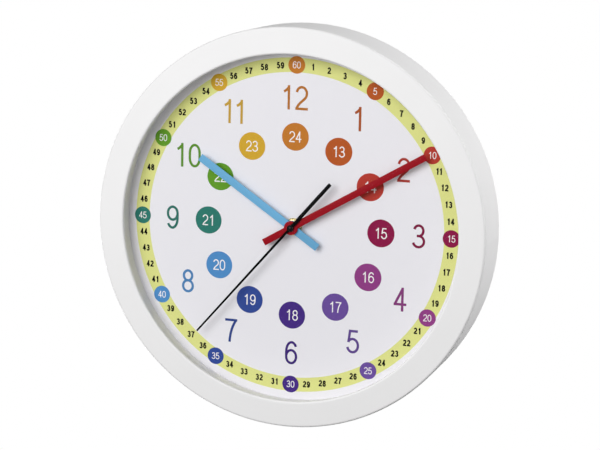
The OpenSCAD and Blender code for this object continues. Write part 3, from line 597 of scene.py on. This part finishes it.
def dress(node, material):
    """Gives a node of the frame its finish."""
    piece = frame["nodes"][node]
    piece.data.materials.clear()
    piece.data.materials.append(material)


def soften(node, edge, material, segments=2):
    """Stands for a node of the frame with a copy whose sharp edges are rounded."""
    source = frame["nodes"][node]
    rounded = bmesh.new()
    rounded.from_mesh(source.data)
    bmesh.ops.remove_doubles(rounded, verts=rounded.verts, dist=JOINED_WITHIN)
    bmesh.ops.dissolve_limit(
        rounded, angle_limit=FLAT_BELOW, verts=rounded.verts, edges=rounded.edges)
    edges = [e for e in rounded.edges if e.is_manifold and e.calc_face_angle() > ROUNDED_ABOVE]
    bmesh.ops.bevel(
        rounded, geom=edges, offset=edge, offset_type="OFFSET", segments=segments,
        profile=ROUND_PROFILE, affect="EDGES", clamp_overlap=True)
    piece = add_piece(node + "_rounded", rounded, material, source["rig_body"])
    for face in piece.data.polygons:
        face.use_smooth = True
    piece.data.set_sharp_from_angle(angle=SMOOTH_BELOW)
    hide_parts(node)


def steps_round(sides):
    """Angles of equal steps round a full turn."""
    return [FULL_TURN * i / sides for i in range(sides)]


def add_disc(builder, centre, radius, low, high, sides=72):
    """A flat disc over the dial, as a thin solid between two heights."""
    cx, cy = centre
    outline = [(cx + radius * math.cos(a), cy + radius * math.sin(a)) for a in steps_round(sides)]
    bottom = [builder.verts.new(on_dial(x, y, low)) for x, y in outline]
    top = [builder.verts.new(on_dial(x, y, high)) for x, y in outline]
    builder.faces.new(top)
    builder.faces.new(bottom[::-1])
    for i in range(sides):
        builder.faces.new((bottom[i - 1], bottom[i], top[i], top[i - 1]))


def add_band(builder, sections, closed):
    """Joins four-cornered sections into a thin solid strip."""
    rows = [[builder.verts.new(on_dial(*corner)) for corner in section] for section in sections]
    following_rows = rows[1:] + rows[:1] if closed else rows[1:]
    for row, following in zip(rows, following_rows):
        for i in range(4):
            builder.faces.new((row[i - 1], row[i], following[i], following[i - 1]))
    if not closed:
        builder.faces.new(rows[0])
        builder.faces.new(rows[-1][::-1])


def add_ring(builder, inner, outer, low, high, sides=240):
    """A flat ring about the shaft, as a thin solid between two heights."""
    corners = ((inner, low), (inner, high), (outer, high), (outer, low))
    sections = []
    for turn in steps_round(sides):
        sections.append([(r * math.cos(turn), r * math.sin(turn), h) for r, h in corners])
    add_band(builder, sections, True)


def stroke_sections(points, width, low, high, closed):
    """Cross-sections of a pen stroke along points, mitred where it bends."""
    count = len(points)
    sections = []
    for i, (x, y) in enumerate(points):
        before = points[i - 1] if closed or i else None
        after = points[(i + 1) % count] if closed or i < count - 1 else None
        ways = []
        if before:
            ways.append(Vector((x - before[0], y - before[1])).normalized())
        if after:
            ways.append(Vector((after[0] - x, after[1] - y)).normalized())
        along = sum(ways, Vector((0, 0))).normalized()
        lean = max(1 / MITRE_LIMIT, along.dot(ways[0]))
        side = Vector((-along.y, along.x)) * (width / 2 / lean)
        left, right = (x + side.x, y + side.y), (x - side.x, y - side.y)
        sections.append([(*left, low), (*left, high), (*right, high), (*right, low)])
    return sections


def arc(cx, cy, rx, ry, start, end, steps=16):
    """Points on an ellipse from one angle to another, in degrees."""
    turns = [math.radians(start + (end - start) * i / steps) for i in range(steps + 1)]
    return [(cx + rx * math.cos(a), cy + ry * math.sin(a)) for a in turns]


def loop(cx, cy, rx, ry, steps=28):
    """A closed ellipse, without its end point twice."""
    return arc(cx, cy, rx, ry, 0, 360, steps)[:-1]


def bend(p0, p1, p2, p3, steps=12):
    """Points on a curve that leaves p0 towards p1 and reaches p3 from p2."""
    points = []
    for i in range(steps + 1):
        t = i / steps
        weights = ((1 - t) ** 3, 3 * t * (1 - t) ** 2, 3 * t * t * (1 - t), t ** 3)
        pulls = list(zip(weights, (p0, p1, p2, p3)))
        points.append(tuple(sum(k * p[axis] for k, p in pulls) for axis in (0, 1)))
    return points


def digit_strokes(digit, w, h, pen):
    """Centre lines of a narrow plain digit in a box w by h, as (points, closed)."""
    half = pen / 2
    if digit == "0":
        crown = arc(w / 2, 0.62 * h, w / 2, 0.38 * h, 0, 180)
        bowl = arc(w / 2, 0.38 * h, w / 2, 0.38 * h, 180, 360)
        return [(crown + bowl, True)]
    if digit == "1":
        stem = w / 2 + 0.07 * h
        flag = bend(
            (stem, 0.99 * h), (stem - 0.04 * h, 0.9 * h),
            (stem - 0.13 * h, 0.81 * h), (stem - 0.24 * h, 0.765 * h))
        return [([(stem, -half), (stem, h + half)], False), (flag, False)]
    if digit == "2":
        crown = arc(w / 2, 0.71 * h, w / 2, 0.29 * h, 170, -30)
        spine = bend(crown[-1], (0.78 * w, 0.40 * h), (0.10 * w, 0.25 * h), (0.02 * w, 0))
        return [(crown + spine[1:], False), ([(-half, 0), (w + half, 0)], False)]
    if digit == "3":
        crown = arc(0.46 * w, 0.755 * h, 0.44 * w, 0.245 * h, 165, -88)
        bowl = arc(0.46 * w, 0.26 * h, 0.53 * w, 0.26 * h, 92, -166)
        waist = [(0.28 * w, 0.515 * h), (0.5 * w, 0.515 * h)]
        return [(crown, False), (bowl, False), (waist, False)]
    if digit == "4":
        stem = 0.72 * w
        upright = [(stem, -half), (stem, h + half)]
        slope = [(stem, h), (0, 0.28 * h)]
        bar = [(-half, 0.27 * h), (w + half, 0.27 * h)]
        return [(upright, False), (slope, False), (bar, False)]
    if digit == "5":
        bar = [(0.17 * w, h), (0.96 * w, h)]
        neck = [(0.2 * w, h + half), (0.04 * w, 0.46 * h)]
        bowl = arc(0.46 * w, 0.315 * h, 0.54 * w, 0.315 * h, 146, -164)
        return [(bar, False), (neck, False), (bowl, False)]
    if digit == "6":
        back = [(0, 0.34 * h)] + arc(0.53 * w, 0.55 * h, 0.53 * w, 0.45 * h, 180, 34)
        return [(loop(w / 2, 0.31 * h, w / 2, 0.31 * h), True), (back, False)]
    if digit == "7":
        leg = bend((w, h), (0.62 * w, 0.72 * h), (0.40 * w, 0.36 * h), (0.36 * w, -half))
        return [([(-half, h), (w + half, h)], False), (leg, False)]
    if digit == "8":
        crown = loop(w / 2, 0.76 * h, 0.43 * w, 0.24 * h)
        bowl = loop(w / 2, 0.265 * h, w / 2, 0.265 * h)
        return [(crown, True), (bowl, True)]
    # A nine is a six upside down
    six = digit_strokes("6", w, h, pen)
    return [([(w - x, h - y) for x, y in points], closed) for points, closed in six]


def add_number(builder, number, centre, height, stroke, low, step):
    """Draws a number upright about its centre.

    Each stroke of a digit stands a hair higher than the last, so that no two coincide.
    """
    pen = stroke * height
    box_w, box_h = FIGURE_WIDTH * height - pen, height - pen
    advance = FIGURE_ADVANCE * height
    # The two ones of eleven stand closer together
    pull = ELEVEN_PULL * height if number == 11 else 0.0
    digits = str(number)
    left = centre[0] - (len(digits) * advance - pull) / 2
    for position, digit in enumerate(digits):
        x0 = left + position * (advance - pull) + (advance - box_w) / 2
        y0 = centre[1] - box_h / 2
        for layer, (points, closed) in enumerate(digit_strokes(digit, box_w, box_h, pen)):
            moved = [(x0 + x, y0 + y) for x, y in points]
            high = low + step * (1 + STROKE_LIFT * layer)
            add_band(builder, stroke_sections(moved, pen, low, high, closed), closed)


def print_ring(sizes):
    """The minute ring, straight on the dial."""
    ring = bmesh.new()
    add_ring(ring, sizes.ring_inner, sizes.ring_outer, 0.0, sizes.ink_step)
    return ring


def print_dots(circle, radius, low, high):
    """A dot at each hour, on a circle about the shaft."""
    dots = bmesh.new()
    for hour in range(1, HOURS + 1):
        add_disc(dots, clock_point(hour / HOURS, circle), radius, low, high)
    return dots


def print_hour_figures(sizes):
    """One to twelve, straight on the dial."""
    figures = bmesh.new()
    for hour in range(1, HOURS + 1):
        x, y = clock_point(hour / HOURS, sizes.hour_figure_at)
        if hour in NUDGED_HOURS:
            x -= sizes.nudge
        add_number(figures, hour, (x, y), sizes.hour_figure_h, sizes.thin_stroke, 0.0, sizes.ink_step)
    return figures


def print_dot_figures(sizes):
    """Thirteen to twenty-four on the hour dots, and every fifth minute on the minute dots."""
    figures = bmesh.new()
    step = sizes.ink_step
    pen = sizes.medium_stroke
    for hour in range(1, HOURS + 1):
        hour_dot = clock_point(hour / HOURS, sizes.hour_dot_at)
        add_number(figures, hour + HOURS, hour_dot, sizes.hour_dot_figure_h, pen, step, step)
        minute_dot = clock_point(hour / HOURS, sizes.minute_dot_at)
        minute = hour * MINUTES_TO_A_DOT
        add_number(figures, minute, minute_dot, sizes.minute_dot_figure_h, pen, 2 * step, step)
    return figures


def print_minute_figures(sizes):
    """The minutes between the dots, on the ring."""
    figures = bmesh.new()
    step = sizes.ink_step
    for minute in range(1, MINUTES):
        if minute % MINUTES_TO_A_DOT:
            centre = clock_point(minute / MINUTES, sizes.minute_figure_at)
            add_number(figures, minute, centre, sizes.minute_figure_h, sizes.bold_stroke, step, step)
    return figures


class WALL_CLOCK_OT_case(bpy.types.Operator):
    """Finish of the front case, the rear cover and its screws"""

    bl_idname = "wall_clock.case"
    bl_label = "Case"

    def execute(self, context):
        settings = context.scene.wall_clock
        white = moulded("white_plastic", settings.colours.white_plastic, roughness=0.62, specular=0.14)
        dress("front_case", white)
        dress("rear_cover", white)
        steel = bare_metal("screw_steel", settings.colours.steel, roughness=0.3)
        soften("case_screws", settings.edges.screws, steel)
        return {"FINISHED"}


class WALL_CLOCK_OT_window(bpy.types.Operator):
    """Clear window in front of the hands"""

    bl_idname = "wall_clock.window"
    bl_label = "Window"

    def execute(self, context):
        dress("window", clear_plastic(context.scene.wall_clock.colours.window))
        return {"FINISHED"}


class WALL_CLOCK_OT_dial(bpy.types.Operator):
    """Dial sheet with its printed ring, dots and figures"""

    bl_idname = "wall_clock.dial"
    bl_label = "Dial"

    def execute(self, context):
        settings = context.scene.wall_clock
        sizes, colours = settings.dial_print, settings.colours
        step = sizes.ink_step
        inks = [getattr(settings.hour_inks, hour) for hour in HourInks.__annotations__]
        sheet = printed_sheet("dial_sheet", colours.dial_sheet, roughness=0.55)
        dot_ink = ink_by_hour("dot_inks", inks)
        figure_ink = ink_by_hour("figure_inks", inks, sizes.fade, sizes.deepen)
        ring_ink = printed_sheet("ring_ink", colours.ring_ink)
        white_ink = printed_sheet("white_ink", colours.white_ink)
        black_ink = printed_sheet("black_ink", colours.black_ink)

        dress("dial", sheet)
        minute_dots = print_dots(sizes.minute_dot_at, sizes.minute_dot_r, step, 2 * step)
        hour_dots = print_dots(sizes.hour_dot_at, sizes.hour_dot_r, 0.0, step)
        prints = (
            ("minute_ring", print_ring(sizes), ring_ink),
            ("minute_dots", minute_dots, dot_ink),
            ("hour_dots", hour_dots, dot_ink),
            ("hour_figures", print_hour_figures(sizes), figure_ink),
            ("dot_figures", print_dot_figures(sizes), white_ink),
            ("minute_figures", print_minute_figures(sizes), black_ink),
        )
        for name, builder, ink in prints:
            add_piece(name, builder, ink, DIAL_BODY)
        return {"FINISHED"}


class WALL_CLOCK_OT_hands(bpy.types.Operator):
    """Hour, minute and second hands, and the cap at the centre"""

    bl_idname = "wall_clock.hands"
    bl_label = "Hands"

    def execute(self, context):
        settings = context.scene.wall_clock
        colours, edge = settings.colours, settings.edges.hands
        blue = painted_metal("blue_paint", colours.hour_hand)
        red = painted_metal("red_paint", colours.minute_hand)
        black = painted_metal("black_paint", colours.second_hand, roughness=0.3)
        dome = moulded("black_plastic", colours.second_hand, roughness=0.12, specular=0.1)
        soften("hour_hand", edge, blue)
        soften("minute_hand", edge, red)
        soften("second_hand", edge, black)
        dress("second_hand_cap", dome)
        return {"FINISHED"}


class WALL_CLOCK_OT_shaft_fixing(bpy.types.Operator):
    """Nut, washers, bushing and minute pipe around the hand shaft"""

    bl_idname = "wall_clock.shaft_fixing"
    bl_label = "Shaft fixing"

    def execute(self, context):
        settings = context.scene.wall_clock
        brass = turned_brass(settings.colours.brass)
        soften("fixing_nut", settings.edges.nut, brass)
        for node in ("brass_washer", "threaded_bushing", "minute_pipe"):
            dress(node, brass)
        rubber = moulded(
            "rubber", settings.colours.rubber, roughness=0.8, lump=1800.0, depth=0.03 * MM)
        dress("rubber_washer", rubber)
        return {"FINISHED"}


class WALL_CLOCK_OT_movement_housing(bpy.types.Operator):
    """Movement housing, its bearing plate and the setting knob"""

    bl_idname = "wall_clock.movement_housing"
    bl_label = "Movement housing"

    def execute(self, context):
        settings = context.scene.wall_clock
        black = textured_housing(settings.colours.housing)
        for node in ("movement_front", "movement_back", "bearing_plate"):
            dress(node, black)
        soften("setting_knob", settings.edges.knob, black)
        return {"FINISHED"}


class WALL_CLOCK_OT_gear_train(bpy.types.Operator):
    """Wheels, pinions, the coil's bobbin and the rotor's magnet"""

    bl_idname = "wall_clock.gear_train"
    bl_label = "Gear train"

    def execute(self, context):
        colours = context.scene.wall_clock.colours
        plastic = moulded("wheel_plastic", colours.wheels, roughness=0.42, lump=900.0)
        for node in (
                "hour_wheel", "minute_wheel", "setting_pinion", "centre_wheel", "third_wheel",
                "second_wheel", "intermediate_wheel", "rotor_pinion", "coil_bobbin"):
            dress(node, plastic)
        dress("rotor_magnet", bare_metal("magnet", colours.magnet, roughness=0.55))
        return {"FINISHED"}


class WALL_CLOCK_OT_motor_and_circuit(bpy.types.Operator):
    """Stator, coil, board, contacts and the small steel parts"""

    bl_idname = "wall_clock.motor_and_circuit"
    bl_label = "Motor and circuit"

    def execute(self, context):
        colours = context.scene.wall_clock.colours
        steel = bare_metal(
            "plated_steel", colours.steel, roughness=0.3, scale=1600.0, stretch=(0.08, 1, 1))
        for node in (
                "second_arbor", "clutch_spring", "stator", "coil_core", "quartz_crystal",
                "positive_contact", "negative_contact"):
            dress(node, steel)
        dress("coil_winding", wound_copper(colours.copper))
        dress("circuit_board", solder_mask(colours.board))
        dress("chip", moulded("resin", colours.second_hand, roughness=0.3))
        return {"FINISHED"}


class WALL_CLOCK_OT_battery(bpy.types.Operator):
    """Cell in its bay"""

    bl_idname = "wall_clock.battery"
    bl_label = "Battery"

    def execute(self, context):
        settings = context.scene.wall_clock
        colours, edges = settings.colours, settings.edges
        sleeve = cell_sleeve(colours.sleeve, colours.sleeve_band)
        steel = bare_metal("cell_steel", colours.steel, roughness=0.25)
        soften("battery_can", edges.cell, sleeve, segments=4)
        soften("battery_cap", edges.cell_cap, steel, segments=3)
        return {"FINISHED"}


class WALL_CLOCK_OT_stage(bpy.types.Operator):
    """Floor, lamps, world and camera"""

    bl_idname = "wall_clock.stage"
    bl_label = "Stage"

    def execute(self, context):
        scene = context.scene
        studio = scene.wall_clock.studio
        self.floor(scene, studio)
        self.world(scene, studio)
        centre = on_dial(0, 0, 0)
        self.lamp(scene, "key_lamp", centre, studio.key_at, studio.key_size, studio.key_power)
        self.lamp(scene, "fill_lamp", centre, studio.fill_at, studio.fill_size, studio.fill_power)
        self.lamp(scene, "rear_lamp", centre, studio.rear_at, studio.rear_size, studio.rear_power)
        self.camera(scene, studio, centre)
        scene.view_settings.view_transform = "Standard"
        return {"FINISHED"}

    def floor(self, scene, studio):
        """A grey floor that glows to white where it shows as background."""
        low = CAD_BOX[0].z - studio.floor_drop
        half = studio.floor_half
        corners = ((-half, -half), (half, -half), (half, half), (-half, half))
        builder = bmesh.new()
        builder.faces.new([builder.verts.new((x, y, low)) for x, y in corners])
        mesh = bpy.data.meshes.new("floor")
        builder.to_mesh(mesh)
        builder.free()
        plane = bpy.data.objects.new("floor", mesh)
        scene.collection.objects.link(plane)

        finish = Finish("pale_floor", {"Roughness": 0.9, SPECULAR: 0.1})
        dust = finish.noise(scale=3.0)
        finish.set({"Base Color": finish.shade(studio.floor_tone, amount=0.02, mask=dust)})
        seen = self.seen_rays(finish)
        plain = finish.shader.outputs[0]
        glow = finish.node("ShaderNodeEmission", sockets={"Strength": studio.floor_glow})
        glowing = finish.node("ShaderNodeAddShader", sockets={0: plain, 1: glow.outputs[0]})
        mixed = finish.node("ShaderNodeMixShader", sockets={0: seen, 1: plain, 2: glowing.outputs[0]})
        finish.put(finish.output.inputs["Surface"], mixed.outputs[0])
        mesh.materials.append(finish.material)

    @staticmethod
    def seen_rays(tree):
        """One for rays that show the background: from the camera, by reflection or through glass."""
        rays = tree.node("ShaderNodeLightPath").outputs
        direct = Value(tree, rays["Is Camera Ray"])
        reflected = Value(tree, rays["Is Glossy Ray"])
        through = Value(tree, rays["Is Transmission Ray"])
        return tree.math("MAXIMUM", tree.math("MAXIMUM", direct, reflected), through)

    def world(self, scene, studio):
        """White where it shows as background, and else a soft light that is strongest from the front."""
        scene.world = bpy.data.worlds.new("studio")
        scene.world.use_nodes = True
        tree = NodeTree(scene.world.node_tree)
        seen = self.seen_rays(tree)
        way = tree.node("ShaderNodeTexCoord").outputs["Generated"]
        rearward = Value(tree, tree.node("ShaderNodeSeparateXYZ", sockets={0: way}).outputs["Y"])
        soft = studio.ambient * tree.math("MAXIMUM", -1.0 * rearward, studio.least_ambient)
        strength = soft + seen * (1 - soft)
        sky = tree.node("ShaderNodeBackground", sockets={"Color": WHITE, "Strength": strength})
        tree.node("ShaderNodeOutputWorld", sockets={"Surface": sky.outputs[0]})

    @staticmethod
    def lamp(scene, name, target, offset, size, watts):
        """A round soft lamp that points at the target from an offset."""
        data = bpy.data.lights.new(name, "AREA")
        data.shape = "DISK"
        data.size = size
        data.energy = watts
        lamp = bpy.data.objects.new(name, data)
        lamp.location = target + Vector(offset)
        lamp.rotation_euler = (-Vector(offset)).to_track_quat("-Z", "Y").to_euler()
        scene.collection.objects.link(lamp)

    @staticmethod
    def camera(scene, studio, target):
        """A camera that looks at the target from the studio's distance and angles."""
        data = bpy.data.cameras.new("camera")
        data.sensor_width = SENSOR_WIDTH_MM
        data.sensor_fit = "HORIZONTAL"
        data.lens = studio.lens
        data.shift_x, data.shift_y = studio.shift_x, studio.shift_y
        rise, flat = math.sin(studio.elevation), math.cos(studio.elevation)
        back = Vector((math.sin(studio.azimuth) * flat, -math.cos(studio.azimuth) * flat, rise))
        level = Vector((0, 0, 1)).cross(back).normalized()
        right = Matrix.Rotation(studio.roll, 3, back) @ level
        up = back.cross(right)
        turn = Matrix((right, up, back)).transposed()
        camera = bpy.data.objects.new("camera", data)
        camera.matrix_world = Matrix.Translation(target + studio.distance * back) @ turn.to_4x4()
        scene.collection.objects.link(camera)
        scene.camera = camera


STEPS = (
    WALL_CLOCK_OT_case,
    WALL_CLOCK_OT_window,
    WALL_CLOCK_OT_dial,
    WALL_CLOCK_OT_hands,
    WALL_CLOCK_OT_shaft_fixing,
    WALL_CLOCK_OT_movement_housing,
    WALL_CLOCK_OT_gear_train,
    WALL_CLOCK_OT_motor_and_circuit,
    WALL_CLOCK_OT_battery,
    WALL_CLOCK_OT_stage,
)


class WALL_CLOCK_PT_panel(bpy.types.Panel):
    """Lists the steps that dress the clock, and what a user may change"""

    bl_idname = "WALL_CLOCK_PT_panel"
    bl_label = "Wall clock"
    bl_space_type = "VIEW_3D"
    bl_region_type = "UI"
    bl_category = "Wall clock"

    def draw(self, context):
        for step in STEPS:
            self.layout.operator(step.bl_idname)
        settings = context.scene.wall_clock
        for group_name in ClockSettings.__annotations__:
            group = getattr(settings, group_name)
            box = self.layout.box()
            for name in type(group).__annotations__:
                box.prop(group, name)


CLASSES = (
    DialPrint, HourInks, ClockColours, RoundedEdges, StudioSettings, ClockSettings, *STEPS,
    WALL_CLOCK_PT_panel,
)


def register():
    """Makes the classes known, and gives each scene the clock's settings."""
    for cls in CLASSES:
        bpy.utils.register_class(cls)
    bpy.types.Scene.wall_clock = bpy.props.PointerProperty(
        name="Wall clock", description="All that a user may change on the clock", type=ClockSettings)


def unregister():
    """Takes back what register did."""
    del bpy.types.Scene.wall_clock
    for cls in reversed(CLASSES):
        bpy.utils.unregister_class(cls)


def main():
    """Dresses the clock step by step."""
    register()
    for step in STEPS:
        group, name = step.bl_idname.split(".")
        getattr(getattr(bpy.ops, group), name)()
    bpy.context.view_layer.update()


if __name__ == "__main__":
    main()
